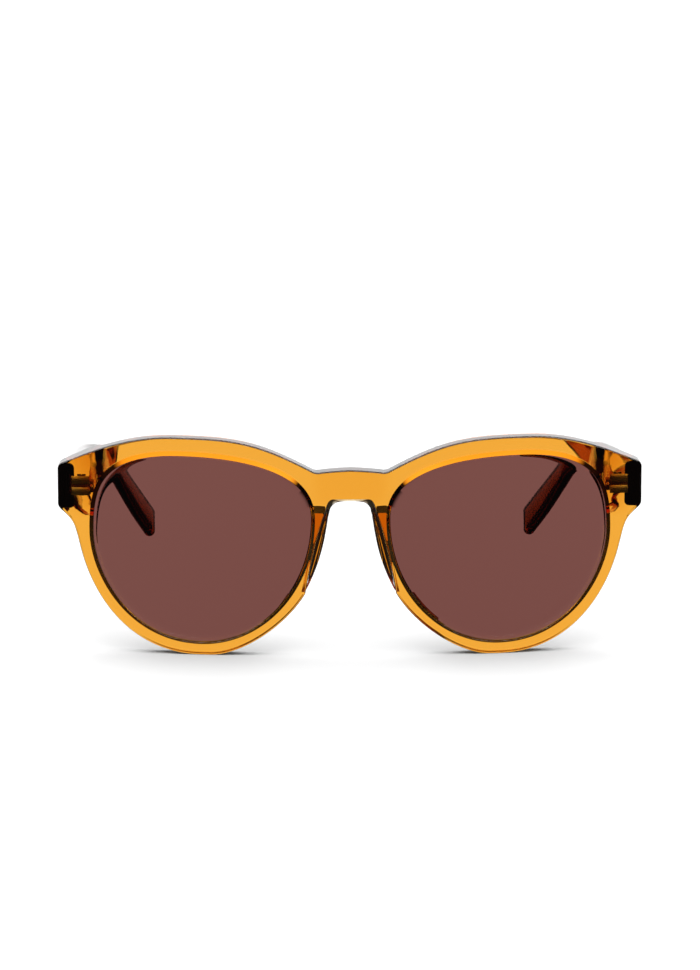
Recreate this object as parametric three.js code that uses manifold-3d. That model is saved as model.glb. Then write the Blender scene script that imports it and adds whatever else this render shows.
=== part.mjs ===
import * as THREE from 'three';
import { mergeVertices } from 'three/addons/utils/BufferGeometryUtils.js';
import Module from 'manifold-3d';

// Round acetate sunglasses, open, standing on the two rim bottoms and the two temple tips.
// Millimetres, +Z up, +X to the wearer's left, +Y from the front towards the temple tips.
// The origin is on the table, in the middle of the open pair's width and length.
// While the solids are made, y = 0 is the front's foremost point; addNode moves them all.
// Everything with a side is built for the +X side and mirrored for the other.

// ---- Driving dimensions -------------------------------------------------------------
const FRONT_HALF_WIDTH = 71.4;
const FRONT_THICKNESS = 4.5;
const FRONT_CURVE_RADIUS = 300;
const EDGE_ROUND = 0.5;
const BEND_STRIP = 7;

const END_INNER = 59.8;
const END_SLOPE = 2.4;
const END_LOW = 34.6;
const END_HEIGHT = 13;
const END_BACK = 14.6;

const BRIDGE_TOP = 46.3;
const FACE_ARCH = 39.0;
const BACK_ARCH = 37.7;
const NOSE_X = 11.05;
const NOSE_Z = 15.6;
const RIM_BOTTOM = 0;
const REST_X = 35.4;
const REST_WIDTH = 2.4;

const LENS_TOP = 49.42;
const LENS_BOTTOM = 3.08;
const LENS_NASAL = 9.5;
const LENS_TEMPORAL = 62.8;
const LENS_THICKNESS = 2.0;
const LENS_RADIUS = 240;
const LENS_CENTRE_X = 36.2;
const LENS_CENTRE_Z = 26.2;
const LENS_SETBACK = 1.8;
const LENS_BEVEL = 0.6;
const LENS_PLAY = 0.1;

const TILT = THREE.MathUtils.degToRad(7);
const HINGE_X = 65.1;
const HINGE_Y = 14.45;
const HINGE_Z = 40.4;
const JOINT_FACE = -1.35;
const JOINT_GAP = 0.12;

const KNUCKLE_RADIUS = 1.25;
const KNUCKLE_BORE = 0.66;
const KNUCKLE_HEIGHT = 1.5;
const KNUCKLE_GAP = 0.1;
const HINGE_HEIGHT = 3 * KNUCKLE_HEIGHT + 2 * KNUCKLE_GAP;
const PLATE_THICKNESS = 0.9;
const FRONT_PLATE_INNER = -1.7;
const FRONT_PLATE_OUTER = 2.75;
const FRONT_PRONG_HEIGHT = 1.95;
const FRONT_PRONG_DEPTH = 2.4;
const TAB_INNER = -2.9;
const TAB_HALF_HEIGHT = 1.65;
const RIVET_RADIUS = 0.35;
const TEMPLE_PLATE_INNER = 1.75;
const TEMPLE_PLATE_OUTER = 2.75;
const TEMPLE_PLATE_START = 1.05;
const TEMPLE_PLATE_END = 9.4;
const TEMPLE_PRONG_HEIGHT = 1.1;
const TEMPLE_PRONG_REACH = 1.2;
const TEMPLE_PRONG_START = 3.4;
const TEMPLE_PRONG_END = 7.4;
const TEMPLE_POCKET_MOUTH = 0.8;
const TEMPLE_ARM_INNER = 0.3;
const ARM_INNER = -1.2;
const ARM_OUTER = 0.95;
const ARM_SINK = 0.4;
const SUNK_GAP = 0.06;
const FLUSH_GAP = 0.02;
const OVERLAP = 0.1;

const SCREW_RADIUS = 0.6;
const SCREW_HEAD_RADIUS = 1.08;
const SCREW_HEAD_HEIGHT = 0.5;
const SLOT_WIDTH = 0.28;
const SLOT_DEPTH = 0.22;
const SCREW_END = 0.15;

const BUTT_HEIGHT = 11;
const BUTT_X = 4.05;
const BUTT_Z = -0.05;
const BUTT_THICKNESS = 4.4;
const BUTT_EDGE_ROUND = 1.2;
const TEMPLE_WAIST_HEIGHT = 6.4;
const TEMPLE_END_HEIGHT = 8.4;
const TEMPLE_THICKNESS = 3.0;
const TEMPLE_EDGE_ROUND = 1.5;
const TAPER_END = 0.62;
const FLARE_START = 0.65;
const FLARE_END = 0.93;
const TIP_CORNER = 2.2;
const TIP_EDGE_ROUND = 1.2;

const PAD_LOW = 15.4;
const PAD_HIGH = 35.0;
const PAD_DEPTH = 5.0;
const PAD_END_DEPTH = 0.3;
const PAD_END_RISE = 1.1;
const PAD_EDGE_CUT = 0.5;
const PAD_GAP = 0.1;

// The front's foremost point is this far ahead of the middle of the open pair's length.
const FRONT_AHEAD = 72.49;

const wasm = await Module();
wasm.setup();

// ---- Solids --------------------------------------------------------------------------
function toSolid(geometry) {
  const bare = geometry.clone();
  bare.deleteAttribute('normal');
  bare.deleteAttribute('uv');
  const welded = mergeVertices(bare, 1e-5);
  const mesh = new wasm.Mesh({
    numProp: 3,
    vertProperties: new Float32Array(welded.attributes.position.array),
    triVerts: new Uint32Array(welded.index.array),
  });
  return new wasm.Manifold(mesh);
}

function toGeometry(solid) {
  const mesh = solid.getMesh();
  const geometry = new THREE.BufferGeometry();
  geometry.setAttribute('position', new THREE.BufferAttribute(new Float32Array(mesh.vertProperties), 3));
  geometry.setIndex(new THREE.BufferAttribute(new Uint32Array(mesh.triVerts), 1));
  return geometry;
}

function fromTriangles(corners) {
  const geometry = new THREE.BufferGeometry();
  geometry.setAttribute('position', new THREE.Float32BufferAttribute(corners, 3));
  return geometry;
}

// A closed body through rings of points, each ring having the same number of points.
function loft(rings) {
  const corners = [];
  const addTriangle = (a, b, c) => corners.push(a.x, a.y, a.z, b.x, b.y, b.z, c.x, c.y, c.z);
  const count = rings[0].length;
  for (let row = 0; row + 1 < rings.length; row += 1) {
    for (let i = 0; i < count; i += 1) {
      const next = (i + 1) % count;
      const [a, b] = [rings[row][i], rings[row][next]];
      const [c, d] = [rings[row + 1][i], rings[row + 1][next]];
      addTriangle(a, b, d);
      addTriangle(a, d, c);
    }
  }
  const addCap = (ring, facingBack) => {
    const middle = new THREE.Vector3();
    ring.forEach((point) => middle.addScaledVector(point, 1 / count));
    for (let i = 0; i < count; i += 1) {
      const next = (i + 1) % count;
      if (facingBack) {
        addTriangle(middle, ring[next], ring[i]);
      } else {
        addTriangle(middle, ring[i], ring[next]);
      }
    }
  };
  addCap(rings[0], true);
  addCap(rings[rings.length - 1], false);
  return fromTriangles(corners);
}

function block(x0, x1, y0, y1, z0, z1) {
  const box = new THREE.BoxGeometry(x1 - x0, y1 - y0, z1 - z0);
  box.translate((x0 + x1) / 2, (y0 + y1) / 2, (z0 + z1) / 2);
  return toSolid(box);
}

function post(radius, z0, z1, sides = 20) {
  const cylinder = new THREE.CylinderGeometry(radius, radius, z1 - z0, sides);
  cylinder.rotateX(Math.PI / 2);
  cylinder.translate(0, 0, (z0 + z1) / 2);
  return toSolid(cylinder);
}

// ---- Front ---------------------------------------------------------------------------
function frontSurface(x) {
  return FRONT_CURVE_RADIUS - Math.sqrt(FRONT_CURVE_RADIUS ** 2 - x * x);
}

// The nose's side of the outline, from beside the nose up to the middle of the arch: its
// edge on the face, and its narrower edge at the back. The two match point for point.
function addNoseFace(path) {
  path.bezierCurveTo(10.0, 22.5, 8.9, 28.8, 6.1, 36.2);
  path.quadraticCurveTo(5.55, FACE_ARCH, 4.3, FACE_ARCH);
  path.quadraticCurveTo(2.1, FACE_ARCH, 0, FACE_ARCH);
}

function addNoseBack(path) {
  path.bezierCurveTo(8.2, 21.9, 7.3, 27.5, 5.2, 34.9);
  path.quadraticCurveTo(4.8, 37.2, 2.7, 37.55);
  path.quadraticCurveTo(1.35, BACK_ARCH, 0, BACK_ARCH);
}

function nosePoints(addEdge) {
  const path = new THREE.Path();
  path.moveTo(NOSE_X, NOSE_Z);
  addEdge(path);
  return path.getPoints(8);
}

// Outline of the +X half, from the middle of the bridge top, round the rim, to the arch.
function halfOutline() {
  const path = new THREE.Path();
  path.moveTo(0, BRIDGE_TOP);
  path.bezierCurveTo(2.6, 46.2, 5.2, 46.0, 7.3, 45.75);
  path.quadraticCurveTo(8.2, 45.5, 9.2, 45.9);
  path.bezierCurveTo(22.9, 53.2, 28.6, 53.91, 43.54, 53.91);
  path.bezierCurveTo(55.85, 53.91, 65.4, 48.75, 70.0, 46.95);
  path.quadraticCurveTo(FRONT_HALF_WIDTH, 46.4, FRONT_HALF_WIDTH, 45.2);
  path.lineTo(FRONT_HALF_WIDTH, 36.6);
  path.quadraticCurveTo(FRONT_HALF_WIDTH, 35.8, 70.3, 34.91);
  path.bezierCurveTo(67.15, 32.19, 67.4, 31.75, 65.7, 25.07);
  path.bezierCurveTo(62.2, 11.6, 52.5, RIM_BOTTOM, REST_X + REST_WIDTH / 2, RIM_BOTTOM);
  path.lineTo(REST_X - REST_WIDTH / 2, RIM_BOTTOM);
  path.bezierCurveTo(26.8, RIM_BOTTOM, 15.8, 7.4, NOSE_X, NOSE_Z);
  return [...path.getPoints(5), ...nosePoints(addNoseFace).slice(1)];
}

function lensOutline(divisions = 8) {
  const path = new THREE.Path();
  path.moveTo(42.17, LENS_TOP);
  path.bezierCurveTo(32.15, LENS_TOP, LENS_NASAL, 47.96, LENS_NASAL, 34.08);
  path.bezierCurveTo(LENS_NASAL, 16.0, 22.28, LENS_BOTTOM, 36.2, LENS_BOTTOM);
  path.bezierCurveTo(53.98, LENS_BOTTOM, LENS_TEMPORAL, 19.5, LENS_TEMPORAL, 30.02);
  path.bezierCurveTo(LENS_TEMPORAL, 39.53, 61.65, LENS_TOP, 42.17, LENS_TOP);
  const points = path.getPoints(divisions);
  points.pop();
  return points;
}

function mirrored(points) {
  return points.map((point) => new THREE.Vector2(-point.x, point.y)).reverse();
}

// The front seen from ahead, as a flat plate from y0 to y1 with rounded edges.
function flatPlate(y0, y1, inset) {
  const half = halfOutline();
  const shape = new THREE.Shape([...half, ...mirrored(half).slice(1, -1)]);
  shape.holes = [new THREE.Path(lensOutline()), new THREE.Path(mirrored(lensOutline()))];
  const plate = new THREE.ExtrudeGeometry(shape, {
    depth: y1 - y0 - 2 * EDGE_ROUND,
    bevelEnabled: true,
    bevelThickness: EDGE_ROUND,
    bevelSize: EDGE_ROUND,
    bevelOffset: -EDGE_ROUND - inset,
    bevelSegments: 1,
  });
  plate.rotateX(Math.PI / 2);
  plate.translate(0, y1 - EDGE_ROUND, 0);
  return plate;
}

// Moves the back edge of the plate into the nose gap, so that its wall slopes.
function narrowNose(plate) {
  const face = nosePoints(addNoseFace);
  const back = nosePoints(addNoseBack);
  const position = plate.attributes.position;
  for (let i = 0; i < position.count; i += 1) {
    const spot = new THREE.Vector2(Math.abs(position.getX(i)), position.getZ(i));
    const distances = face.map((point) => point.distanceTo(spot));
    const distance = Math.min(...distances);
    if (position.getY(i) > FRONT_THICKNESS / 2 && distance < 1.06 * EDGE_ROUND) {
      const nearest = distances.indexOf(distance);
      const shift = back[nearest].clone().sub(face[nearest]);
      position.setX(i, position.getX(i) + Math.sign(position.getX(i)) * shift.x);
      position.setZ(i, position.getZ(i) + shift.y);
    }
  }
}

// Cuts every triangle where it crosses x = cut, so that the plate can be bent between cuts.
function splitAt(triangles, cut) {
  const kept = [];
  const crossing = (a, b) => {
    const [low, high] = a.x < b.x ? [a, b] : [b, a];
    const point = low.clone().lerp(high, (cut - low.x) / (high.x - low.x));
    point.x = cut;
    return point;
  };
  const sideOf = (point) => Math.sign(Math.abs(point.x - cut) < 1e-6 ? 0 : point.x - cut);
  for (const triangle of triangles) {
    const sides = triangle.map(sideOf);
    if (Math.min(...sides) >= 0 || Math.max(...sides) <= 0) {
      kept.push(triangle);
      continue;
    }
    const halves = [[], []];
    triangle.forEach((point, i) => {
      const next = triangle[(i + 1) % 3];
      if (sides[i] <= 0) {
        halves[0].push(point);
      }
      if (sides[i] >= 0) {
        halves[1].push(point);
      }
      if (sides[i] * sides[(i + 1) % 3] < 0) {
        const onCut = crossing(point, next);
        halves[0].push(onCut);
        halves[1].push(onCut);
      }
    });
    for (const polygon of halves) {
      for (let i = 2; i < polygon.length; i += 1) {
        kept.push([polygon[0], polygon[i - 1], polygon[i]]);
      }
    }
  }
  return kept;
}

function bentPlate() {
  const plate = flatPlate(0, FRONT_THICKNESS, 0);
  narrowNose(plate);
  const position = plate.attributes.position;
  let triangles = [];
  for (let i = 0; i < position.count; i += 3) {
    triangles.push([0, 1, 2].map((k) => new THREE.Vector3().fromBufferAttribute(position, i + k)));
  }
  for (let cut = -63; cut <= 63; cut += BEND_STRIP) {
    triangles = splitAt(triangles, cut);
  }
  const corners = [];
  for (const triangle of triangles) {
    for (const point of triangle) {
      corners.push(point.x, point.y + frontSurface(point.x), point.z);
    }
  }
  return toSolid(fromTriangles(corners));
}

// ---- Lenses --------------------------------------------------------------------------
function lensSurface(x, z) {
  const turn = Math.asin(LENS_CENTRE_X / FRONT_CURVE_RADIUS);
  const centreX = LENS_CENTRE_X - LENS_RADIUS * Math.sin(turn);
  const centreY = frontSurface(LENS_CENTRE_X) + LENS_SETBACK + LENS_RADIUS * Math.cos(turn);
  const across = (x - centreX) ** 2 + (z - LENS_CENTRE_Z) ** 2;
  return centreY - Math.sqrt(LENS_RADIUS ** 2 - across);
}

function offsetOutline(points, distance) {
  const count = points.length;
  return points.map((point, i) => {
    const along = points[(i + 1) % count].clone().sub(points[(i + count - 1) % count]).normalize();
    return new THREE.Vector2(point.x - along.y * distance, point.y + along.x * distance);
  });
}

// A curved disc with a V-shaped edge. "grow" makes the same shape bigger on every side.
function lensBody(grow) {
  const outline = lensOutline(10);
  const rim = offsetOutline(outline, LENS_PLAY - grow);
  const tip = offsetOutline(outline, -LENS_BEVEL - grow);
  const half = LENS_THICKNESS / 2 + grow;
  const ring = (points, share, offset) => points.map((point) => {
    const x = LENS_CENTRE_X + (point.x - LENS_CENTRE_X) * share;
    const z = LENS_CENTRE_Z + (point.y - LENS_CENTRE_Z) * share;
    return new THREE.Vector3(x, lensSurface(x, z) + offset, z);
  });
  const rings = [
    ring(rim, 0.5, -half),
    ring(rim, 1, -half),
    ring(tip, 1, -0.15 - grow),
    ring(tip, 1, 0.15 + grow),
    ring(rim, 1, half),
    ring(rim, 0.5, half),
  ];
  return toSolid(loft(rings.reverse()));
}

// ---- Nose pads -----------------------------------------------------------------------
// Three lines up a pad, as (x, z): the ridge, its furthest reach into the nose gap; the seat,
// where that side meets the back of the rim; and its other side, next to the lens.
function padLine(low, lowPull, highPull, high) {
  const points = [[low, PAD_LOW], lowPull, highPull, [high, PAD_HIGH]];
  return new THREE.CubicBezierCurve(...points.map(([x, z]) => new THREE.Vector2(x, z)));
}

const padRidge = padLine(10.9, [7.0, 21.6], [6.3, 27.4], 4.85);
const padSeat = padLine(11.0, [8.2, 21.9], [7.3, 27.5], 5.2);
const padOuter = padLine(12.0, [10.6, 22.0], [9.4, 28.0], 9.1);

// A block behind the nasal side of a rim: thin at its low end, blunt at its high end.
function nosePad() {
  const rings = [];
  const steps = 12;
  for (let i = 0; i <= steps; i += 1) {
    const share = Math.sin((Math.PI / 2) * (i / steps));
    const grown = Math.sin((Math.PI / 2) * Math.min(share / 0.35, 1));
    const { x: ridge, y: z } = padRidge.getPoint(share);
    const seat = padSeat.getPoint(share).x;
    const outer = padOuter.getPoint(share).x;
    const depth = PAD_END_DEPTH + PAD_DEPTH * grown;
    const rise = PAD_END_RISE * THREE.MathUtils.smoothstep(share, 0.6, 1);
    const outline = [
      [seat, 0],
      [outer, 0],
      [outer, 0.9],
      [outer - PAD_EDGE_CUT, 1],
      [ridge + PAD_EDGE_CUT, 1],
      [ridge, 0.8],
      [ridge, 0.5],
      [ridge + 0.5 * (seat - ridge), 0.2],
    ];
    rings.push(outline.map(([x, part]) => {
      const back = frontSurface(x) + FRONT_THICKNESS + PAD_GAP;
      return new THREE.Vector3(x, back + part * depth, z + part * rise);
    }));
  }
  return toSolid(loft(rings));
}

// ---- Hinge, in its own axes: z along the pin, x outwards, y towards the temple tip -----
function hingeToWorld(geometry) {
  geometry.rotateX(-TILT);
  geometry.translate(HINGE_X, HINGE_Y, HINGE_Z);
  return geometry;
}

function placed(solid) {
  return toSolid(hingeToWorld(toGeometry(solid)));
}

function knuckle(level) {
  const step = KNUCKLE_HEIGHT + KNUCKLE_GAP;
  const low = level * step - KNUCKLE_HEIGHT / 2;
  return { low, high: low + KNUCKLE_HEIGHT };
}

// The two prongs of a hinge leaf, one at each end of its height, between x0..x1 and y0..y1.
function prongs(x0, x1, y0, y1, height, grow) {
  const outer = HINGE_HEIGHT / 2 + grow;
  const inner = HINGE_HEIGHT / 2 - height - grow;
  return block(x0, x1, y0, y1, inner, outer).add(block(x0, x1, y0, y1, -outer, -inner));
}

// The leaf in the front's end piece. "grow" gives the pocket it sits in.
function frontLeaf(grow) {
  const half = HINGE_HEIGHT / 2 + grow;
  const back = JOINT_FACE - FLUSH_GAP + grow * 2;
  const deep = JOINT_FACE - PLATE_THICKNESS - grow;
  const [inner, outer] = [FRONT_PLATE_INNER - grow, FRONT_PLATE_OUTER + grow];
  const tabHalf = TAB_HALF_HEIGHT + grow;
  let leaf = block(inner, outer, deep, back, -half, half);
  leaf = leaf.add(block(TAB_INNER - grow, inner + OVERLAP, deep, back, -tabHalf, tabHalf));
  const deepest = deep - FRONT_PRONG_DEPTH;
  leaf = leaf.add(prongs(inner, outer, deepest, deep + OVERLAP, FRONT_PRONG_HEIGHT, grow));
  if (grow > 0) {
    return leaf;
  }
  for (const level of [-1, 1]) {
    const { low, high } = knuckle(level);
    leaf = leaf.add(post(KNUCKLE_RADIUS, low, high));
    leaf = leaf.add(block(ARM_INNER, ARM_OUTER, JOINT_FACE - ARM_SINK, 0, low, high));
    leaf = leaf.subtract(post(KNUCKLE_BORE, low - OVERLAP, high + OVERLAP));
  }
  const rivetX = (TAB_INNER + FRONT_PLATE_INNER) / 2;
  const rivet = post(RIVET_RADIUS, -2, 2, 16).rotate([90, 0, 0]).translate([rivetX, JOINT_FACE, 0]);
  return leaf.subtract(rivet);
}

// The leaf in the temple's inner side. Its pocket is open towards the wearer.
function templeLeaf(grow) {
  const half = HINGE_HEIGHT / 2 + grow;
  const inner = grow > 0 ? TEMPLE_POCKET_MOUTH : TEMPLE_PLATE_INNER;
  const outer = TEMPLE_PLATE_OUTER + grow;
  let leaf = block(inner, outer, TEMPLE_PLATE_START - grow, TEMPLE_PLATE_END + grow, -half, half);
  const [near, far] = [TEMPLE_PRONG_START - grow, TEMPLE_PRONG_END + grow];
  const prongTip = outer + TEMPLE_PRONG_REACH;
  leaf = leaf.add(prongs(outer - OVERLAP, prongTip, near, far, TEMPLE_PRONG_HEIGHT, grow));
  const { low, high } = knuckle(0);
  const armOuter = TEMPLE_PLATE_INNER + ARM_SINK + grow;
  const armEnd = TEMPLE_PLATE_START + ARM_SINK;
  if (grow > 0) {
    const slot = block(TEMPLE_ARM_INNER, armOuter, JOINT_FACE, armEnd, low - grow, high + grow);
    return leaf.add(slot);
  }
  leaf = leaf.add(post(KNUCKLE_RADIUS, low, high));
  leaf = leaf.add(block(TEMPLE_ARM_INNER, armOuter, 0, armEnd, low, high));
  return leaf.subtract(post(KNUCKLE_BORE, low - OVERLAP, high + OVERLAP));
}

function hingeScrew() {
  const top = HINGE_HEIGHT / 2 + FLUSH_GAP;
  let screw = post(SCREW_RADIUS, -HINGE_HEIGHT / 2 - SCREW_END, top + OVERLAP);
  screw = screw.add(post(SCREW_HEAD_RADIUS, top, top + SCREW_HEAD_HEIGHT, 20));
  const slotLow = top + SCREW_HEAD_HEIGHT - SLOT_DEPTH;
  return screw.subtract(block(-SLOT_WIDTH / 2, SLOT_WIDTH / 2, -2, 2, slotLow, slotLow + 1));
}

// ---- Temples, drawn in the hinge axes and turned with the hinge ------------------------
const TEMPLE_START = JOINT_FACE + JOINT_GAP;

const templeLine = new THREE.CatmullRomCurve3([
  new THREE.Vector3(BUTT_X, TEMPLE_START, BUTT_Z),
  new THREE.Vector3(3.9, 20, 0.35),
  new THREE.Vector3(3.5, 42, 0.8),
  new THREE.Vector3(2.8, 62, 1.15),
  new THREE.Vector3(1.6, 73, 1.1),
  new THREE.Vector3(-0.35, 82, 0.6),
  new THREE.Vector3(-2.2, 88.5, -0.3),
  new THREE.Vector3(-4.5, 95.3, -2.6),
  new THREE.Vector3(-6.6, 103.6, -6.9),
  new THREE.Vector3(-9.8, 116.2, -13.55),
  new THREE.Vector3(-14.05, 132.7, -21.75),
], false, 'centripetal');

const TEMPLE_LENGTH = templeLine.getLength();

// Height and thickness of the temple at a share of its length.
function templeHeight(share) {
  const taper = (BUTT_HEIGHT - TEMPLE_WAIST_HEIGHT) * Math.min(share / TAPER_END, 1) ** 0.9;
  const flared = THREE.MathUtils.smoothstep(share, FLARE_START, FLARE_END);
  return BUTT_HEIGHT - taper + (TEMPLE_END_HEIGHT - TEMPLE_WAIST_HEIGHT) * flared;
}

function templeThickness(share) {
  return BUTT_THICKNESS + (TEMPLE_THICKNESS - BUTT_THICKNESS) * Math.min(share / 0.5, 1);
}

function templeRound(share) {
  return BUTT_EDGE_ROUND + (TEMPLE_EDGE_ROUND - BUTT_EDGE_ROUND) * Math.min(share / 0.3, 1);
}

// A rounded rectangle square to the temple's line.
function templeRing(share, height, thickness, round) {
  const centre = templeLine.getPointAt(share);
  const along = share < 0.02 ? new THREE.Vector3(0, 1, 0) : templeLine.getTangentAt(share);
  const across = new THREE.Vector3(1, 0, 0).addScaledVector(along, -along.x).normalize();
  const up = new THREE.Vector3().crossVectors(across, along);
  const ring = [];
  const steps = 2;
  const reach = Math.min(round, height / 2 - 0.05, thickness / 2 - 0.05);
  const corners = [[1, 1], [-1, 1], [-1, -1], [1, -1]];
  corners.forEach(([sideX, sideZ], quarter) => {
    for (let i = 0; i <= steps; i += 1) {
      const angle = (quarter + i / steps) * (Math.PI / 2);
      const x = sideX * (thickness / 2 - reach) + reach * Math.cos(angle);
      const z = sideZ * (height / 2 - reach) + reach * Math.sin(angle);
      ring.push(centre.clone().addScaledVector(across, x).addScaledVector(up, z));
    }
  });
  return ring;
}

function templeBlank() {
  const rings = [];
  const steps = 18;
  const tipShare = TIP_CORNER / TEMPLE_LENGTH;
  for (let i = 0; i <= steps; i += 1) {
    const share = (i / steps) * (1 - tipShare);
    rings.push(templeRing(share, templeHeight(share), templeThickness(share), templeRound(share)));
  }
  for (const turn of [22, 44, 62, 76, 86]) {
    const angle = THREE.MathUtils.degToRad(turn);
    const share = 1 - tipShare + tipShare * Math.sin(angle);
    const height = templeHeight(share) - 2 * TIP_CORNER * (1 - Math.cos(angle));
    const thickness = templeThickness(share) - 2 * TIP_EDGE_ROUND * (1 - Math.cos(angle));
    rings.push(templeRing(share, height, thickness, templeRound(share)));
  }
  return toSolid(loft(rings.reverse()));
}

function temple() {
  return templeBlank().subtract(templeLeaf(SUNK_GAP));
}

// ---- Front with its grooves and pockets ------------------------------------------------
// The space behind an end piece that its thicker part fills.
function endBlock() {
  const profile = new THREE.Shape([
    new THREE.Vector2(END_INNER, 8),
    new THREE.Vector2(FRONT_HALF_WIDTH + 1, 8),
    new THREE.Vector2(FRONT_HALF_WIDTH + 1, 16),
    new THREE.Vector2(END_INNER + END_SLOPE, 16),
    new THREE.Vector2(END_INNER + END_SLOPE, 12.6),
  ]);
  const column = new THREE.ExtrudeGeometry(profile, { depth: END_HEIGHT, bevelEnabled: false });
  column.translate(0, 0, END_LOW);
  return toSolid(column);
}

function frontFrame() {
  const ends = endBlock();
  const bothEnds = ends.add(ends.mirror([1, 0, 0]));
  const thickEnds = toSolid(flatPlate(5, END_BACK, FLUSH_GAP * 2)).intersect(bothEnds);
  let frame = bentPlate().add(thickEnds);
  const relief = placed(block(-4.6, 9, JOINT_FACE, 6, -12, 12));
  const cutters = [relief, placed(frontLeaf(SUNK_GAP)), lensBody(LENS_PLAY)];
  for (const cutter of cutters) {
    frame = frame.subtract(cutter).subtract(cutter.mirror([1, 0, 0]));
  }
  return frame;
}

// ---- Materials and nodes -----------------------------------------------------------------
const MATERIALS = {
  honey_acetate: { color: 0xe0973a, roughness: 0.15, metalness: 0, opacity: 0.8, transparent: true },
  dark_acetate: { color: 0x1c130f, roughness: 0.15, metalness: 0 },
  tinted_lens: { color: 0x7a4a44, roughness: 0.05, metalness: 0, opacity: 0.7, transparent: true },
  hinge_metal: { color: 0xb9b4aa, roughness: 0.35, metalness: 1 },
};

const group = new THREE.Group();
group.name = 'round_acetate_sunglasses';

function addNode(name, slot, solid) {
  const geometry = toGeometry(solid).toNonIndexed();
  geometry.translate(0, -FRONT_AHEAD, 0);
  geometry.computeVertexNormals();
  const material = new THREE.MeshStandardMaterial(MATERIALS[slot]);
  material.name = slot;
  const mesh = new THREE.Mesh(geometry, material);
  mesh.name = name;
  group.add(mesh);
}

function addPair(name, slot, solid) {
  addNode(`${name}_left`, slot, solid);
  addNode(`${name}_right`, slot, solid.mirror([1, 0, 0]));
}

addNode('front_frame', 'honey_acetate', frontFrame());
addPair('lens', 'tinted_lens', lensBody(0));
addPair('nose_pad', 'honey_acetate', nosePad());
addPair('hinge_front', 'hinge_metal', placed(frontLeaf(0)));
addPair('hinge_temple', 'hinge_metal', placed(templeLeaf(0)));
addPair('hinge_screw', 'hinge_metal', placed(hingeScrew()));
addPair('temple', 'dark_acetate', placed(temple()));

export default group;
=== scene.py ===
import math

import bmesh
import bpy
from mathutils import Matrix, Vector
from mathutils.geometry import delaunay_2d_cdt


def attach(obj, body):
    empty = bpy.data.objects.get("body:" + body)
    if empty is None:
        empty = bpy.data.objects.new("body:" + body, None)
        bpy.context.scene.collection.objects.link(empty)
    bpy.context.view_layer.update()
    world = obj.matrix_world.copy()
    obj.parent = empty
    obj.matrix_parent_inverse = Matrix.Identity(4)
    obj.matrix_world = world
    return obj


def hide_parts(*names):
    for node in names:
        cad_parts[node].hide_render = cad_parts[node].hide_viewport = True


# Round acetate sunglasses: the looks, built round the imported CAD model.
# Lengths are in millimetres until mesh_piece turns them into metres.
# y = 0 is the front's foremost point while a shape is made, as in the CAD source.

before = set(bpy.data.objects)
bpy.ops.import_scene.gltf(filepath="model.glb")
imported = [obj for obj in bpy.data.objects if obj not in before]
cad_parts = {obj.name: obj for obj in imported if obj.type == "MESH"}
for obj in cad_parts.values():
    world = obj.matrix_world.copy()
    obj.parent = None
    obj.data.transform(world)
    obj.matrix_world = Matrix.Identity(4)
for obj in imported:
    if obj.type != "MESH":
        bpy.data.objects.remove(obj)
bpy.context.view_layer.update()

MM = 0.001
FRONT_AHEAD = 72.49

# ---- Driving dimensions, the same as the CAD source's -----------------------------------
FRONT_HALF_WIDTH = 71.4
FRONT_THICKNESS = 4.5
FRONT_CURVE_RADIUS = 300.0
BRIDGE_TOP = 46.3
FACE_ARCH = 39.0
BACK_ARCH = 37.7
NOSE_SIDE = (11.05, 15.6)
NOSE_TOP = 42.0
REST_X = 35.4
REST_WIDTH = 2.4

LENS_TOP = 49.42
LENS_BOTTOM = 3.08
LENS_NASAL = 9.5
LENS_TEMPORAL = 62.8
LENS_THICKNESS = 2.0
LENS_RADIUS = 240.0
LENS_CENTRE = (36.2, 26.2)
LENS_SETBACK = 1.8
LENS_BEVEL = 0.6

KNUCKLE_RADIUS = 1.25
KNUCKLE_HEIGHT = 1.5
KNUCKLE_GAP = 0.1
HINGE_HEIGHT = 3 * KNUCKLE_HEIGHT + 2 * KNUCKLE_GAP
PLATE_THICKNESS = 0.9
FRONT_PLATE = (-1.7, 2.75)
FRONT_PRONG_HEIGHT = 1.95
FRONT_PRONG_DEPTH = 2.4
TAB_INNER = -2.9
TAB_HALF_HEIGHT = 1.65
RIVET_RADIUS = 0.35
TEMPLE_PLATE = (1.75, 2.75)
TEMPLE_PLATE_START = 1.05
TEMPLE_PLATE_END = 9.4
SCREW_HEAD_RADIUS = 1.08
SCREW_HEAD_HEIGHT = 0.5
SLOT_WIDTH = 0.28
SLOT_DEPTH = 0.22
SCREW_END = 0.15
ARM_INNER = -1.2
ARM_OUTER = 0.95
TEMPLE_ARM_INNER = 0.3
FLUSH_GAP = 0.02
OVERLAP = 0.1

TILT = math.radians(7)
HINGE = Vector((65.1, 14.45, 40.4))
JOINT_FACE = -1.35
JOINT_GAP = 0.12
BUTT = (4.05, -0.05)
BUTT_HEIGHT = 11.0
BUTT_THICKNESS = 4.4
BUTT_EDGE_ROUND = 1.2
TEMPLE_WAIST_HEIGHT = 6.4
TEMPLE_END_HEIGHT = 8.4
TEMPLE_THICKNESS = 3.0
TEMPLE_EDGE_ROUND = 1.5
TIP_CORNER = 2.2
TIP_EDGE_ROUND = 1.2

PAD_LOW = 15.4
PAD_HIGH = 35.0
PAD_DEPTH = 5.0

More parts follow.
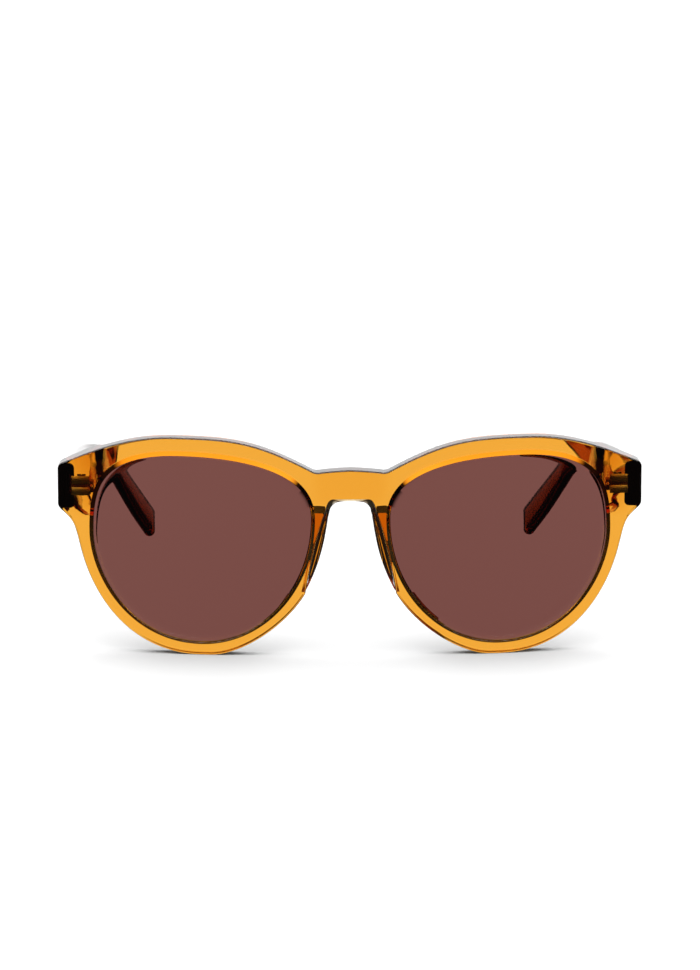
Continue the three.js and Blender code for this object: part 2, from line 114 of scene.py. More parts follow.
# ---- Sizes that only the looks have ------------------------------------------------------
OUTER_ROUND = 0.5
OPENING_ROUND = 0.2
GROOVE_DEPTH = 0.85
GROOVE_HALF_WIDTH = 1.3
GRID_STEP = 1.3
NOSE_BACK_ROUND = 0.05
WALL_STEPS = 8
FLARE_START = 0.3
PAD_SINK = 0.8
PAD_END_ROUND = 0.5
PAD_END_RISE = 1.1
BRIDGE_BACK = 0.3
FRONT_ARM_SINK = 0.3
TEMPLE_ARM_SINK = 0.45
TEMPLE_ARM_REACH = 0.35
SCREW_END_RADIUS = 0.6


# ---- Curves in the front view, as (x, z) pairs ---------------------------------------------
def bezier(points, count):
    """Points along a Bezier curve of any degree, without its last one."""
    row = []
    for i in range(count):
        t = i / count
        level = [Vector(p) for p in points]
        while len(level) > 1:
            level = [a.lerp(b, t) for a, b in zip(level, level[1:])]
        row.append(level[0])
    return row


# The nose's side of the outline on the front's face, and at its back, where it is narrower.
# Both run from the side of the nose up to the middle of the arch, and match point for point.
NOSE_ON_FACE = [
    ([NOSE_SIDE, (10.0, 22.5), (8.9, 28.8), (6.1, 36.2)], 42),
    ([(6.1, 36.2), (5.55, FACE_ARCH), (4.3, FACE_ARCH)], 10),
    ([(4.3, FACE_ARCH), (0, FACE_ARCH)], 8),
]
NOSE_AT_BACK = [
    ([NOSE_SIDE, (8.2, 21.9), (7.3, 27.5), (5.2, 34.9)], 42),
    ([(5.2, 34.9), (4.8, 37.2), (2.7, 37.55)], 10),
    ([(2.7, 37.55), (1.35, BACK_ARCH), (0, BACK_ARCH)], 8),
]


def half_outline(nose):
    """The +X half of the front's edge, from the bridge top round the rim to the arch."""
    rest_outer = (REST_X + REST_WIDTH / 2, 0)
    rest_inner = (REST_X - REST_WIDTH / 2, 0)
    side = FRONT_HALF_WIDTH
    curves = [
        ([(0, BRIDGE_TOP), (2.6, 46.2), (5.2, 46.0), (7.3, 45.75)], 12),
        ([(7.3, 45.75), (8.2, 45.5), (9.2, 45.9)], 8),
        ([(9.2, 45.9), (22.9, 53.2), (28.6, 53.91), (43.54, 53.91)], 60),
        ([(43.54, 53.91), (55.85, 53.91), (65.4, 48.75), (70.0, 46.95)], 48),
        ([(70.0, 46.95), (side, 46.4), (side, 45.2)], 10),
        ([(side, 45.2), (side, 36.6)], 12),
        ([(side, 36.6), (side, 35.8), (70.3, 34.91)], 10),
        ([(70.3, 34.91), (67.15, 32.19), (67.4, 31.75), (65.7, 25.07)], 26),
        ([(65.7, 25.07), (62.2, 11.6), (52.5, 0), rest_outer], 70),
        ([rest_outer, rest_inner], 4),
        ([rest_inner, (26.8, 0), (15.8, 7.4), NOSE_SIDE], 50),
    ]
    points = [point for curve, count in curves + nose for point in bezier(curve, count)]
    return points + [Vector(nose[-1][0][-1])]


def lens_outline(count=72):
    top = (42.17, LENS_TOP)
    nasal = (LENS_NASAL, 34.08)
    bottom = (36.2, LENS_BOTTOM)
    temporal = (LENS_TEMPORAL, 30.02)
    curves = [
        [top, (32.15, LENS_TOP), (LENS_NASAL, 47.96), nasal],
        [nasal, (LENS_NASAL, 16.0), (22.28, LENS_BOTTOM), bottom],
        [bottom, (53.98, LENS_BOTTOM), (LENS_TEMPORAL, 19.5), temporal],
        [temporal, (LENS_TEMPORAL, 39.53), (61.65, LENS_TOP), top],
    ]
    return [point for curve in curves for point in bezier(curve, count)]


def mirrored(points):
    return [Vector((-p.x, p.y)) for p in reversed(points)]


def inward_normals(points):
    """Unit normals to the right of the way the closed outline runs."""
    count = len(points)
    normals = []
    for i in range(count):
        along = (points[(i + 1) % count] - points[i - 1]).normalized()
        normals.append(Vector((along.y, -along.x)))
    return normals


# ---- Surfaces -------------------------------------------------------------------------------
def front_surface(x):
    return FRONT_CURVE_RADIUS - math.sqrt(FRONT_CURVE_RADIUS ** 2 - x * x)


def smooth_step(value, low, high):
    share = min(max((value - low) / (high - low), 0.0), 1.0)
    return share * share * (3 - 2 * share)


def joint_plane(z):
    """The tilted flat on the back of an end piece, where the temple butts."""
    return HINGE.y + JOINT_FACE / math.cos(TILT) + (z - HINGE.z) * math.tan(TILT)


def back_surface(x, z):
    slab = front_surface(x) + FRONT_THICKNESS
    share = smooth_step(abs(x), 59.4, 62.6) * smooth_step(z, 32.6, 35.6)
    slab += BRIDGE_BACK * (1 - smooth_step(abs(x), 6, 11)) * smooth_step(z, 36, 39)
    return slab + (joint_plane(z) - slab) * share


def lens_surface(x, z):
    """Middle of the lens, a sphere whose axis is square to the front at the lens centre."""
    turn = math.asin(LENS_CENTRE[0] / FRONT_CURVE_RADIUS)
    centre_x = LENS_CENTRE[0] - LENS_RADIUS * math.sin(turn)
    centre_y = front_surface(LENS_CENTRE[0]) + LENS_SETBACK + LENS_RADIUS * math.cos(turn)
    across = (abs(x) - centre_x) ** 2 + (z - LENS_CENTRE[1]) ** 2
    return centre_y - math.sqrt(LENS_RADIUS ** 2 - across)


# ---- Mesh building ----------------------------------------------------------------------------
def mesh_piece(name, points, faces, sharp_angle=40):
    """An object from millimetre points, moved so that the origin is where the CAD's is."""
    mesh = bpy.data.meshes.new(name)
    placed = [((x * MM), (y - FRONT_AHEAD) * MM, z * MM) for x, y, z in points]
    mesh.from_pydata(placed, [], faces)
    mesh.validate()
    work = bmesh.new()
    work.from_mesh(mesh)
    bmesh.ops.recalc_face_normals(work, faces=work.faces)
    work.to_mesh(mesh)
    work.free()
    mesh.shade_smooth()
    mesh.set_sharp_from_angle(angle=math.radians(sharp_angle))
    piece = bpy.data.objects.new(name, mesh)
    bpy.context.scene.collection.objects.link(piece)
    return piece


def mirror_points(points):
    return [(-x, y, z) for x, y, z in points]


def ring_faces(first, second, count):
    """Quads between two closed rows of points that start at these indices."""
    faces = []
    for i in range(count):
        after = (i + 1) % count
        faces.append((first + i, first + after, second + after, second + i))
    return faces


def loft(rings, cap_start=True, cap_end=True):
    """Points and faces of a skin over rings that all have the same number of points."""
    count = len(rings[0])
    points = [tuple(p) for ring in rings for p in ring]
    faces = []
    for row in range(len(rings) - 1):
        faces += ring_faces(row * count, (row + 1) * count, count)
    if cap_start:
        faces.append(tuple(range(count - 1, -1, -1)))
    if cap_end:
        faces.append(tuple(range((len(rings) - 1) * count, len(rings) * count)))
    return points, faces


# ---- The front ----------------------------------------------------------------------------------
def edge_profile(round_size, back_round, grooved):
    """Steps across an edge, from the front face to the back face.

    Each is (how far into the material, what the depth is measured from, depth there).
    """
    steps = []
    turns = 6
    for i in range(turns + 1):
        angle = math.pi / 2 * (1 - i / turns)
        inset = round_size * (1 - math.cos(angle))
        steps.append((inset, "front", round_size * (1 - math.sin(angle))))
    if grooved:
        steps += [
            (0.0, "lens", -GROOVE_HALF_WIDTH),
            (GROOVE_DEPTH, "lens", -0.25),
            (GROOVE_DEPTH, "lens", 0.25),
            (0.0, "lens", GROOVE_HALF_WIDTH),
        ]
    for i in range(turns + 1):
        angle = math.pi / 2 * i / turns
        inset = back_round * (1 - math.cos(angle))
        steps.append((inset, "back", -back_round * (1 - math.sin(angle))))
    return steps


def edge_point(step, point, normal):
    inset, base, depth = step
    x, z = point + normal * inset
    if base == "front":
        return x, front_surface(x) + depth, z
    if base == "back":
        return x, back_surface(x, z) + depth, z
    return x, lens_surface(point.x, point.y) + depth, z


def outer_rings():
    """Rings of points round the front's outer edge, from front to back."""
    faces = half_outline(NOSE_ON_FACE)
    backs = half_outline(NOSE_AT_BACK)
    faces += mirrored(faces)[1:-1]
    backs += mirrored(backs)[1:-1]
    face_normals = inward_normals(faces)
    back_normals = inward_normals(backs)
    rounded = edge_profile(OUTER_ROUND, OUTER_ROUND, False)
    square = edge_profile(OUTER_ROUND, NOSE_BACK_ROUND, False)
    rings = [[], []]
    for wide, narrow in zip(rounded, square):
        ring = []
        for i in range(len(faces)):
            at_nose = abs(faces[i].x) < NOSE_SIDE[0] + 0.05 and NOSE_SIDE[1] < faces[i].y < NOSE_TOP
            if wide[1] == "front":
                ring.append(edge_point(wide, faces[i], face_normals[i]))
            else:
                ring.append(edge_point(narrow if at_nose else wide, backs[i], back_normals[i]))
        rings[wide[1] == "back"].append(ring)
    wall = []
    for step in range(1, WALL_STEPS):
        depth = OUTER_ROUND / FRONT_THICKNESS * 1.1
        depth += (1 - 2 * depth) * (step - 1) / (WALL_STEPS - 2)
        flare = (max(depth - FLARE_START, 0) / (1 - FLARE_START)) ** 1.3
        ring = []
        for face, back in zip(faces, backs):
            x, z = face.lerp(back, flare)
            near = front_surface(x)
            ring.append((x, near + (back_surface(x, z) - near) * depth, z))
        wall.append(ring)
    return rings[0] + wall + rings[1]


def opening_rings(outline):
    normals = inward_normals(outline)
    steps = edge_profile(OPENING_ROUND, OPENING_ROUND, True)
    return [[edge_point(step, p, n) for p, n in zip(outline, normals)] for step in steps]


def inside(x, z, outline):
    """Whether a point is inside a closed outline."""
    hit = False
    for a, b in zip(outline, outline[1:] + outline[:1]):
        if (a[1] > z) != (b[1] > z) and x < a[0] + (b[0] - a[0]) * (z - a[1]) / (b[1] - a[1]):
            hit = not hit
    return hit


def face_triangles(outlines):
    """Triangles over the flat between the outer outline and the two openings.

    Returns the grid points that were added, and triangles that index the outlines' points
    first, in order, and the grid points after them.
    """
    border = [Vector(p) for outline in outlines for p in outline]
    edges = []
    start = 0
    for outline in outlines:
        count = len(outline)
        edges += [(start + i, start + (i + 1) % count) for i in range(count)]
        start += count
    grid = []
    rows = int(56 / GRID_STEP)
    columns = int(144 / GRID_STEP)
    clear = 0.75 * GRID_STEP
    for row in range(rows):
        for column in range(columns):
            x = -72 + (column + 0.5 * (row % 2)) * GRID_STEP
            z = row * GRID_STEP * 0.866
            if z > 55 or not inside(x, z, outlines[0]):
                continue
            if inside(x, z, outlines[1]) or inside(x, z, outlines[2]):
                continue
            spot = Vector((x, z))
            if min((spot - p).length_squared for p in border) > clear * clear:
                grid.append(spot)
    result = delaunay_2d_cdt(border + grid, edges, [], 0, 1e-5)
    places, _, triangles, origins = result[0], result[1], result[2], result[3]
    index = [origin[0] if origin else None for origin in origins]
    kept = []
    for triangle in triangles:
        middle = sum((places[i] for i in triangle), Vector((0, 0))) / len(triangle)
        if not inside(middle.x, middle.y, outlines[0]):
            continue
        if inside(middle.x, middle.y, outlines[1]) or inside(middle.x, middle.y, outlines[2]):
            continue
        kept.append(tuple(index[i] for i in triangle))
    return grid, kept


def make_front():
    left = lens_outline()
    right = [Vector((-p.x, p.y)) for p in left]
    groups = [
        outer_rings(),
        opening_rings(left),
        opening_rings(list(reversed(right))),
    ]
    points = []
    faces = []
    starts = []
    for rings in groups:
        count = len(rings[0])
        first = len(points)
        for ring in rings:
            points += ring
        for row in range(len(rings) - 1):
            faces += ring_faces(first + row * count, first + (row + 1) * count, count)
        starts.append((first, first + (len(rings) - 1) * count, count))
    for side, surface in ((0, "front"), (1, "back")):
        outlines = []
        border = []
        for rings, (front_start, back_start, count) in zip(groups, starts):
            ring = rings[0] if side == 0 else rings[-1]
            outlines.append([(p[0], p[2]) for p in ring])
            start = front_start if side == 0 else back_start
            border += list(range(start, start + count))
        grid, triangles = face_triangles(outlines)
        grid_start = len(points)
        for spot in grid:
            x, z = spot
            y = front_surface(x) if surface == "front" else back_surface(x, z)
            points.append((x, y, z))
        for triangle in triangles:
            corner = [border[i] if i < len(border) else grid_start + i - len(border) for i in triangle]
            faces.append(tuple(corner))
    return mesh_piece("front_fine", points, faces, sharp_angle=35)


# ---- Lenses ----------------------------------------------------------------------------------------
def lens_parts():
    outline = lens_outline(64)
    normals = inward_normals(outline)
    half = LENS_THICKNESS / 2
    centre = Vector(LENS_CENTRE)

    def ring(grow, share, offset):
        row = []
        for point, normal in zip(outline, normals):
            place = centre.lerp(point + normal * grow, share)
            row.append((place.x, lens_surface(place.x, place.y) + offset, place.y))
        return row

    shares = [0.04] + [i / 14 for i in range(1, 14)]
    rings = [ring(-0.1, share, -half) for share in shares]
    rings += [ring(-0.16, 1, -half), ring(-0.1, 1, -half + 0.05)]
    rings += [ring(LENS_BEVEL, 1, -0.15), ring(LENS_BEVEL, 1, 0.15)]
    rings += [ring(-0.1, 1, half - 0.05), ring(-0.16, 1, half)]
    rings += [ring(-0.1, share, half) for share in reversed(shares)]
    return loft(rings)


# ---- Nose pads ---------------------------------------------------------------------------------------
PAD_RIDGE = [(10.9, PAD_LOW), (7.0, 21.6), (6.3, 27.4), (4.85, PAD_HIGH)]
PAD_SEAT = [(11.0, PAD_LOW), (8.2, 21.9), (7.3, 27.5), (5.2, PAD_HIGH)]
PAD_OUTER = [(12.0, PAD_LOW), (10.6, 22.0), (9.4, 28.0), (9.1, PAD_HIGH)]


def pad_parts():
    """A block behind the nasal side of a rim: thin at its low end, blunt at its high end."""
    rings = []
    steps = 70
    around = 72
    ridges = bezier(PAD_RIDGE, 1000)
    seats = bezier(PAD_SEAT, 1000)
    outers = bezier(PAD_OUTER, 1000)
    end = PAD_END_ROUND / (PAD_HIGH - PAD_LOW)
    for i in range(steps + 1):
        share = math.sin(math.pi / 2 * i / steps) * 0.999
        grown = math.sin(math.pi / 2 * min(share / 0.35, 1))
        past = max(share - 1 + end, 0) / end
        shrink = PAD_END_ROUND * (1 - math.sqrt(1 - past * past))
        ridge, z = ridges[int(share * 1000)]
        seat = seats[int(share * 1000)].x
        outer = outers[int(share * 1000)].x - shrink
        lean = seat - ridge
        ridge += shrink * 0.6
        depth = 0.3 + PAD_DEPTH * grown - shrink
        base = front_surface(ridge) + FRONT_THICKNESS
        control = [
            (seat + 0.33, base - PAD_SINK),
            (outer - 0.3, base - PAD_SINK),
            (outer, base - PAD_SINK / 2),
            (outer, base + 0.4 * depth),
            (outer, base + 0.85 * depth),
            (outer, base + depth),
            (outer - 0.2, base + depth),
            (0.5 * (outer + ridge), base + depth),
            (ridge + 0.5, base + depth),
            (ridge + 0.05, base + depth),
            (ridge, base + 0.75 * depth),
            (ridge, base + 0.5 * depth),
            (ridge + 0.15 * lean, base + 0.3 * depth),
            (ridge + 0.6 * lean, base + 0.12 * depth),
            (seat + 0.05, base - 0.1),
            (seat + 0.2, base - PAD_SINK / 2),
        ]
        rise = PAD_END_RISE * smooth_step(share, 0.6, 1) / depth
        section = closed_spline(control, around)
        rings.append([(x, y, z + rise * max(y - base, 0)) for x, y in section])
    return loft(rings)


def closed_spline(control, count):
    """A smooth closed curve near a loop of points: a uniform cubic B-spline."""
    total = len(control)
    row = []
    for i in range(count):
        position = i / count * total
        whole = int(position)
        t = position - whole
        weights = (
            (1 - t) ** 3 / 6,
            (3 * t ** 3 - 6 * t ** 2 + 4) / 6,
            (-3 * t ** 3 + 3 * t ** 2 + 3 * t + 1) / 6,
            t ** 3 / 6,
        )
        x = sum(w * control[(whole + k - 1) % total][0] for k, w in enumerate(weights))
        y = sum(w * control[(whole + k - 1) % total][1] for k, w in enumerate(weights))
        row.append((x, y))
    return row


# ---- Hinge axes ---------------------------------------------------------------------------------------
def hinge_to_world(points):
    """From hinge axes (z along the pin, x outwards, y towards the tip) to the whole's axes."""
    turn = Matrix.Rotation(-TILT, 3, "X")
    return [tuple(turn @ Vector(p) + HINGE) for p in points]


# ---- Temples ------------------------------------------------------------------------------------------
TEMPLE_START = JOINT_FACE + JOINT_GAP
TEMPLE_POINTS = [
    (BUTT[0], TEMPLE_START, BUTT[1]),
    (3.9, 20, 0.35),
    (3.5, 42, 0.8),
    (2.8, 62, 1.15),
    (1.6, 73, 1.1),
    (-0.35, 82, 0.6),
    (-2.2, 88.5, -0.3),
    (-4.5, 95.3, -2.6),
    (-6.6, 103.6, -6.9),
    (-9.8, 116.2, -13.55),
    (-14.05, 132.7, -21.75),
]


def temple_curve(samples_per_span=40):
    """Centripetal Catmull-Rom curve through the temple's points, as evenly spaced points."""
    knots = [Vector(p) for p in TEMPLE_POINTS]
    knots = [knots[0] * 2 - knots[1]] + knots + [knots[-1] * 2 - knots[-2]]
    path = []
    for i in range(1, len(knots) - 2):
        before, start, end, after = knots[i - 1:i + 3]
        gap0 = (start - before).length ** 0.5
        gap1 = (end - start).length ** 0.5
        gap2 = (after - end).length ** 0.5
        slope0 = (start - before) / gap0 - (end - before) / (gap0 + gap1) + (end - start) / gap1
        slope1 = (end - start) / gap1 - (after - start) / (gap1 + gap2) + (after - end) / gap2
        slope0 *= gap1
        slope1 *= gap1
        for k in range(samples_per_span):
            t = k / samples_per_span
            point = (2 * t ** 3 - 3 * t ** 2 + 1) * start + (t ** 3 - 2 * t ** 2 + t) * slope0
            point += (3 * t ** 2 - 2 * t ** 3) * end + (t ** 3 - t ** 2) * slope1
            path.append(point)
    path.append(knots[-2])
    return path


TEMPLE_PATH = temple_curve()
TEMPLE_DISTANCES = [0.0]
for near, far in zip(TEMPLE_PATH, TEMPLE_PATH[1:]):
    TEMPLE_DISTANCES.append(TEMPLE_DISTANCES[-1] + (far - near).length)
TEMPLE_LENGTH = TEMPLE_DISTANCES[-1]


def temple_point(share):
    wanted = share * TEMPLE_LENGTH
    i = 0
    while i < len(TEMPLE_DISTANCES) - 2 and TEMPLE_DISTANCES[i + 1] < wanted:
        i += 1
    span = TEMPLE_DISTANCES[i + 1] - TEMPLE_DISTANCES[i]
    return TEMPLE_PATH[i].lerp(TEMPLE_PATH[i + 1], (wanted - TEMPLE_DISTANCES[i]) / span)


def temple_height(share):
    taper = (BUTT_HEIGHT - TEMPLE_WAIST_HEIGHT) * min(share / 0.62, 1) ** 0.9
    flare = (TEMPLE_END_HEIGHT - TEMPLE_WAIST_HEIGHT) * smooth_step(share, 0.65, 0.93)
    return BUTT_HEIGHT - taper + flare


def temple_thickness(share):
    return BUTT_THICKNESS + (TEMPLE_THICKNESS - BUTT_THICKNESS) * min(share / 0.5, 1)


def temple_round(share):
    return BUTT_EDGE_ROUND + (TEMPLE_EDGE_ROUND - BUTT_EDGE_ROUND) * min(share / 0.3, 1)


def temple_ring(share, height, thickness, round_size, corner_steps=7):
    centre = temple_point(share)
    if share < 0.02:
        along = Vector((0, 1, 0))
    else:
        along = (temple_point(min(share + 0.004, 1)) - temple_point(share - 0.004)).normalized()
    across = (Vector((1, 0, 0)) - along * along.x).normalized()
    up = across.cross(along)
    reach = min(round_size, height / 2 - 0.02, thickness / 2 - 0.02)
    ring = []
    for quarter, (side_x, side_z) in enumerate([(1, 1), (-1, 1), (-1, -1), (1, -1)]):
        for i in range(corner_steps + 1):
            angle = (quarter + i / corner_steps) * math.pi / 2
            x = side_x * (thickness / 2 - reach) + reach * math.cos(angle)
            z = side_z * (height / 2 - reach) + reach * math.sin(angle)
            ring.append(centre + across * x + up * z)
    return ring


def temple_parts():
    rings = []
    tip_share = TIP_CORNER / TEMPLE_LENGTH
    butt_round = 0.35
    for i in range(5):
        angle = math.pi / 2 * i / 4
        share = butt_round * (1 - math.cos(angle)) / TEMPLE_LENGTH
        shrink = 2 * butt_round * (1 - math.sin(angle))
        rings.append(temple_ring(share, BUTT_HEIGHT - shrink, BUTT_THICKNESS - shrink, BUTT_EDGE_ROUND))
    steps = 150
    for i in range(1, steps + 1):
        share = 0.01 + (0.99 - tip_share) * i / steps
        rings.append(temple_ring(share, temple_height(share), temple_thickness(share), temple_round(share)))
    for i in range(1, 13):
        angle = math.pi / 2 * min(i / 12, 0.985)
        share = 1 - tip_share + tip_share * math.sin(angle)
        height = temple_height(share) - 2 * TIP_CORNER * (1 - math.cos(angle))
        thickness = temple_thickness(share) - 2 * TIP_EDGE_ROUND * (1 - math.cos(angle))
        rings.append(temple_ring(share, height, thickness, temple_round(share)))
    points, faces = loft(rings)
    return hinge_to_world(points), faces


# ---- Hinges, in hinge axes ------------------------------------------------------------------------------
def shell(points, faces, bevel=0.0):
    """A closed piece as a bmesh, its edges cut back by a bevel."""
    work = bmesh.new()
    corners = [work.verts.new(p) for p in points]
    for face in faces:
        work.faces.new([corners[i] for i in face])
    bmesh.ops.recalc_face_normals(work, faces=work.faces)
    if bevel > 0:
        sharp = [edge for edge in work.edges if edge.calc_face_angle(0) > math.radians(30)]
        bmesh.ops.bevel(work, geom=sharp, offset=bevel, segments=2, profile=0.5, affect="EDGES")
    return work


def box_shell(x0, x1, y0, y1, z0, z1, bevel=0.08):
    ring = [(x0, y0), (x1, y0), (x1, y1), (x0, y1)]
    points, faces = loft([[(x, y, z0) for x, y in ring], [(x, y, z1) for x, y in ring]])
    return shell(points, faces, bevel)


def post_shell(radius, z0, z1, bevel=0.08, sides=48):
    turns = [2 * math.pi * i / sides for i in range(sides)]
    ring = [(radius * math.cos(turn), radius * math.sin(turn)) for turn in turns]
    points, faces = loft([[(x, y, z0) for x, y in ring], [(x, y, z1) for x, y in ring]])
    return shell(points, faces, bevel)


def cut(target, cutter):
    """Takes one closed piece away from another."""
    meshes = []
    for work in (target, cutter):
        mesh = bpy.data.meshes.new("cut")
        work.to_mesh(mesh)
        work.free()
        meshes.append(mesh)
    kept, taken = [bpy.data.objects.new("cut", mesh) for mesh in meshes]
    for piece in (kept, taken):
        bpy.context.scene.collection.objects.link(piece)
    change = kept.modifiers.new("cut", "BOOLEAN")
    change.operation = "DIFFERENCE"
    change.object = taken
    bpy.context.view_layer.update()
    result = bmesh.new()
    result.from_object(kept, bpy.context.evaluated_depsgraph_get())
    for piece in (kept, taken):
        bpy.data.objects.remove(piece)
    return result


def joined(shells):
    """Points and faces, in the whole's axes, of several closed pieces made into one."""
    points = []
    faces = []
    for work in shells:
        first = len(points)
        work.verts.index_update()
        points += [tuple(vertex.co) for vertex in work.verts]
        faces += [tuple(first + vertex.index for vertex in face.verts) for face in work.faces]
        work.free()
    return hinge_to_world(points), faces


def knuckle(level):
    low = level * (KNUCKLE_HEIGHT + KNUCKLE_GAP) - KNUCKLE_HEIGHT / 2
    return low, low + KNUCKLE_HEIGHT


def hinge_front_parts():
    half = HINGE_HEIGHT / 2
    back = JOINT_FACE - FLUSH_GAP
    deep = JOINT_FACE - PLATE_THICKNESS
    inner, outer = FRONT_PLATE
    rivet = post_shell(RIVET_RADIUS, -1, 1)
    turn = Matrix.Translation(((TAB_INNER + inner) / 2, JOINT_FACE, 0)) @ Matrix.Rotation(math.pi / 2, 4, "X")
    bmesh.ops.transform(rivet, matrix=turn, verts=rivet.verts)
    tab = box_shell(TAB_INNER, inner + 0.3, deep, back, -TAB_HALF_HEIGHT, TAB_HALF_HEIGHT)
    shells = [box_shell(inner, outer, deep, back, -half, half), cut(tab, rivet)]
    for low in (-half, half - FRONT_PRONG_HEIGHT):
        high = low + FRONT_PRONG_HEIGHT
        shells.append(box_shell(inner, outer, deep - FRONT_PRONG_DEPTH, deep + OVERLAP, low, high))
    for level in (-1, 1):
        low, high = knuckle(level)
        shells.append(post_shell(KNUCKLE_RADIUS, low, high))
        bottom, top = low + FLUSH_GAP, high - FLUSH_GAP
        shells.append(box_shell(ARM_INNER, ARM_OUTER, JOINT_FACE - FRONT_ARM_SINK, 0, bottom, top))
    return joined(shells)


def hinge_temple_parts():
    half = HINGE_HEIGHT / 2
    inner, outer = TEMPLE_PLATE
    low, high = knuckle(0)
    bottom, top = low + FLUSH_GAP, high - FLUSH_GAP
    arm_end = TEMPLE_PLATE_START + TEMPLE_ARM_SINK
    return joined([
        box_shell(inner, outer, TEMPLE_PLATE_START, TEMPLE_PLATE_END, -half, half, 0.15),
        post_shell(KNUCKLE_RADIUS, low, high),
        box_shell(TEMPLE_ARM_INNER, inner + TEMPLE_ARM_REACH, 0, arm_end, bottom, top),
    ])


def hinge_screw_parts():
    top = HINGE_HEIGHT / 2 + FLUSH_GAP
    high = top + SCREW_HEAD_HEIGHT
    head = post_shell(SCREW_HEAD_RADIUS, top, high, 0.12)
    slot = box_shell(-SLOT_WIDTH / 2, SLOT_WIDTH / 2, -2, 2, high - SLOT_DEPTH, high + 1, 0)
    bottom = -HINGE_HEIGHT / 2
    end = post_shell(SCREW_END_RADIUS, bottom - SCREW_END, bottom + OVERLAP, 0.05)
    return joined([cut(head, slot), end])


# ---- Materials ----------------------------------------------------------------------------------------
def new_material(name):
    material = bpy.data.materials.new(name)
    material.use_nodes = True
    nodes = material.node_tree.nodes
    shader = nodes["Principled BSDF"]
    output = nodes["Material Output"]
    return material, material.node_tree, shader, output


def faint_waves(tree, shader, scale, strength):
    """Very low, wide bumps, as hand polishing leaves."""
    noise = tree.nodes.new("ShaderNodeTexNoise")
    noise.inputs["Scale"].default_value = scale
    noise.inputs["Detail"].default_value = 2.0
    bump = tree.nodes.new("ShaderNodeBump")
    bump.inputs["Strength"].default_value = strength
    bump.inputs["Distance"].default_value = 0.0002
    place = tree.nodes.new("ShaderNodeTexCoord")
    tree.links.new(place.outputs["Object"], noise.inputs["Vector"])
    tree.links.new(noise.outputs["Fac"], bump.inputs["Height"])
    tree.links.new(bump.outputs["Normal"], shader.inputs["Normal"])


def absorbing_glass(name, ior, roughness, loss_per_mm):
    """Clear body that takes light away with depth. loss_per_mm is for red, green, blue."""
    material, tree, shader, output = new_material(name)
    shader.inputs["Base Color"].default_value = (1, 1, 1, 1)
    shader.inputs["Roughness"].default_value = roughness
    shader.inputs["IOR"].default_value = ior
    shader.inputs["Transmission Weight"].default_value = 1.0
    density = max(loss_per_mm) * 1000 * 1.02
    absorb = tree.nodes.new("ShaderNodeVolumeAbsorption")
    absorb.inputs["Density"].default_value = density
    colour = [1 - loss * 1000 / density for loss in loss_per_mm]
    absorb.inputs["Color"].default_value = (*colour, 1)
    tree.links.new(absorb.outputs["Volume"], output.inputs["Volume"])
    return material, tree, shader


def make_acetate():
    material, tree, shader = absorbing_glass("honey_acetate", 1.49, 0.02, (0.088, 0.265, 0.76))
    faint_waves(tree, shader, 60, 0.05)
    return material


def make_dark_acetate():
    material, tree, shader = absorbing_glass("dark_acetate", 1.49, 0.02, (0.17, 0.55, 0.9))
    faint_waves(tree, shader, 60, 0.05)
    return material


def make_lens_tint():
    material, _, _ = absorbing_glass("tinted_lens", 1.5, 0.0, (0.96, 1.44, 1.52))
    return material


def make_metal():
    material, tree, shader, _ = new_material("hinge_metal")
    shader.inputs["Base Color"].default_value = (0.62, 0.59, 0.54, 1)
    shader.inputs["Metallic"].default_value = 1.0
    shader.inputs["Roughness"].default_value = 0.3
    faint_waves(tree, shader, 900, 0.2)
    return material


def make_floor_paint():
    material, _, shader, _ = new_material("white_floor")
    shader.inputs["Base Color"].default_value = (0.93, 0.93, 0.93, 1)
    shader.inputs["Roughness"].default_value = 0.6
    shader.inputs["Specular IOR Level"].default_value = 0.2
    return material


def dress(piece, material):
    piece.data.materials.clear()
    piece.data.materials.append(material)


def fuse(target, others, sharp_angle):
    """Makes one closed body of a piece and others that reach into it."""
    for other in others:
        change = target.modifiers.new("fuse", "BOOLEAN")
        change.operation = "UNION"
        change.solver = "MANIFOLD"
        change.object = other
    bpy.context.view_layer.update()
    whole = bpy.data.meshes.new_from_object(target.evaluated_get(bpy.context.evaluated_depsgraph_get()))
    target.modifiers.clear()
    target.data = whole
    for other in others:
        bpy.data.objects.remove(other)
    whole.shade_smooth()
    whole.set_sharp_from_angle(angle=math.radians(sharp_angle))


ACETATE = make_acetate()
DARK_ACETATE = make_dark_acetate()
TINT = make_lens_tint()
METAL = make_metal()

# ---- Pieces ----------------------------------------------------------------------------------------------
front = make_front()
pad_points, pad_faces = pad_parts()
fuse(front, [
    mesh_piece("pad_left", pad_points, pad_faces),
    mesh_piece("pad_right", mirror_points(pad_points), pad_faces),
], 35)
dress(front, ACETATE)
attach(front, "front")
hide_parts("front_frame", "nose_pad_left", "nose_pad_right")

DARK = (DARK_ACETATE, "dark_acetate")
CLEAR = (TINT, "tinted_lens")
STEEL = (METAL, "hinge_metal")

for side, flip in (("left", False), ("right", True)):
    arm = f"temple_{side}"
    made = [
        ("lens", "front", lens_parts(), CLEAR, 40),
        ("hinge_front", "front", hinge_front_parts(), STEEL, 30),
        ("hinge_screw", "front", hinge_screw_parts(), STEEL, 30),
        ("hinge_temple", arm, hinge_temple_parts(), STEEL, 30),
        ("temple", arm, temple_parts(), DARK, 40),
    ]
    for kind, body, (points, faces), (material, slot), angle in made:
        if flip:
            points = mirror_points(points)
        piece = mesh_piece(f"{kind}_{side}_fine", points, faces, angle)
        dress(piece, material)
        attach(piece, body)
        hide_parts(f"{kind}_{side}")


# ---- Light levels ----------------------------------------------------------------------------------------
OVERHEAD_GLOW = 2.3
BACKDROP_GLOW = 1.45
DARK_GLOW = 0.03


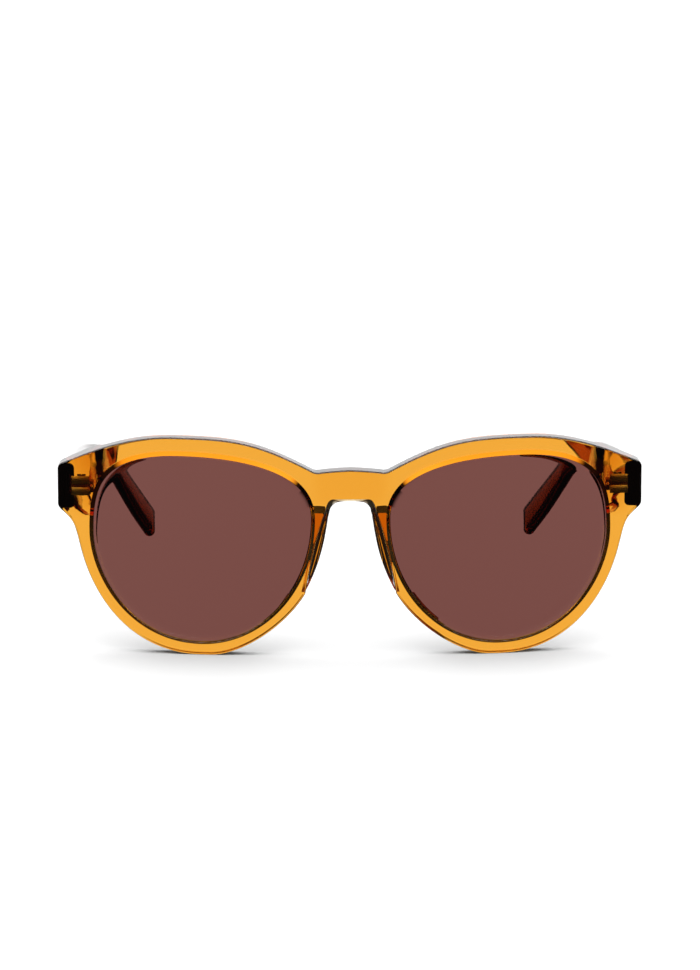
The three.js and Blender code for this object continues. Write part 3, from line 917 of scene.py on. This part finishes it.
# ---- Floor, light and camera -----------------------------------------------------------------------------
def make_floor():
    mesh = bpy.data.meshes.new("floor")
    reach = 6.0
    corners = [(-reach, -reach, 0), (reach, -reach, 0), (reach, reach, 0), (-reach, reach, 0)]
    mesh.from_pydata(corners, [], [(0, 1, 2, 3)])
    floor = bpy.data.objects.new("floor", mesh)
    bpy.context.scene.collection.objects.link(floor)
    dress(floor, make_floor_paint())
    floor.visible_glossy = False
    floor.visible_transmission = False


def make_world():
    """A white sky overhead and a pale backdrop behind the pair; dark at the sides and in front.

    The dark part lights the pair only: seen directly it is white.
    """
    world = bpy.data.worlds.new("studio")
    bpy.context.scene.world = world
    world.use_nodes = True
    tree = world.node_tree
    background = tree.nodes["Background"]
    background.inputs["Color"].default_value = (1, 1, 1, 1)
    place = tree.nodes.new("ShaderNodeTexCoord")
    split = tree.nodes.new("ShaderNodeSeparateXYZ")
    tree.links.new(place.outputs["Generated"], split.inputs["Vector"])

    def rise(axis, low, high, top):
        ramp = tree.nodes.new("ShaderNodeMapRange")
        ramp.interpolation_type = "SMOOTHSTEP"
        ramp.inputs["From Min"].default_value = low
        ramp.inputs["From Max"].default_value = high
        ramp.inputs["To Min"].default_value = DARK_GLOW
        ramp.inputs["To Max"].default_value = top
        tree.links.new(split.outputs[axis], ramp.inputs["Value"])
        return ramp.outputs["Result"]

    brighter = tree.nodes.new("ShaderNodeMath")
    brighter.operation = "MAXIMUM"
    tree.links.new(rise("Z", 0.5, 0.75, OVERHEAD_GLOW), brighter.inputs[0])
    tree.links.new(rise("Y", 0.86, 0.96, BACKDROP_GLOW), brighter.inputs[1])
    path = tree.nodes.new("ShaderNodeLightPath")
    seen = tree.nodes.new("ShaderNodeMath")
    seen.operation = "MAXIMUM"
    tree.links.new(brighter.outputs["Value"], seen.inputs[0])
    tree.links.new(path.outputs["Is Camera Ray"], seen.inputs[1])
    tree.links.new(seen.outputs["Value"], background.inputs["Strength"])


def make_camera():
    """Long lens, a little above the pair and a touch to the side of its middle."""
    distance = 1.215
    elevation = math.radians(11.6)
    azimuth = math.radians(1.25)
    sight = Vector((-0.00015, (-FRONT_AHEAD + 2.2) * MM, 0.04225))
    data = bpy.data.cameras.new("camera")
    data.sensor_fit = "HORIZONTAL"
    data.sensor_width = 36
    data.lens = 36 * distance / 0.1702
    data.clip_start = 0.01
    data.clip_end = 50
    camera = bpy.data.objects.new("camera", data)
    bpy.context.scene.collection.objects.link(camera)
    level = math.cos(elevation)
    away = Vector((-math.sin(azimuth) * level, -math.cos(azimuth) * level, math.sin(elevation)))
    camera.location = sight + away * distance
    camera.rotation_euler = (sight - camera.location).to_track_quat("-Z", "Y").to_euler()
    bpy.context.scene.camera = camera


make_floor()
make_world()
make_camera()

scene = bpy.context.scene
scene.view_settings.view_transform = "Standard"
scene.view_settings.look = "None"
scene.cycles.use_denoising = True
scene.cycles.caustics_refractive = False
scene.cycles.caustics_reflective = False
scene.cycles.max_bounces = 24
scene.cycles.transmission_bounces = 24
scene.cycles.glossy_bounces = 8
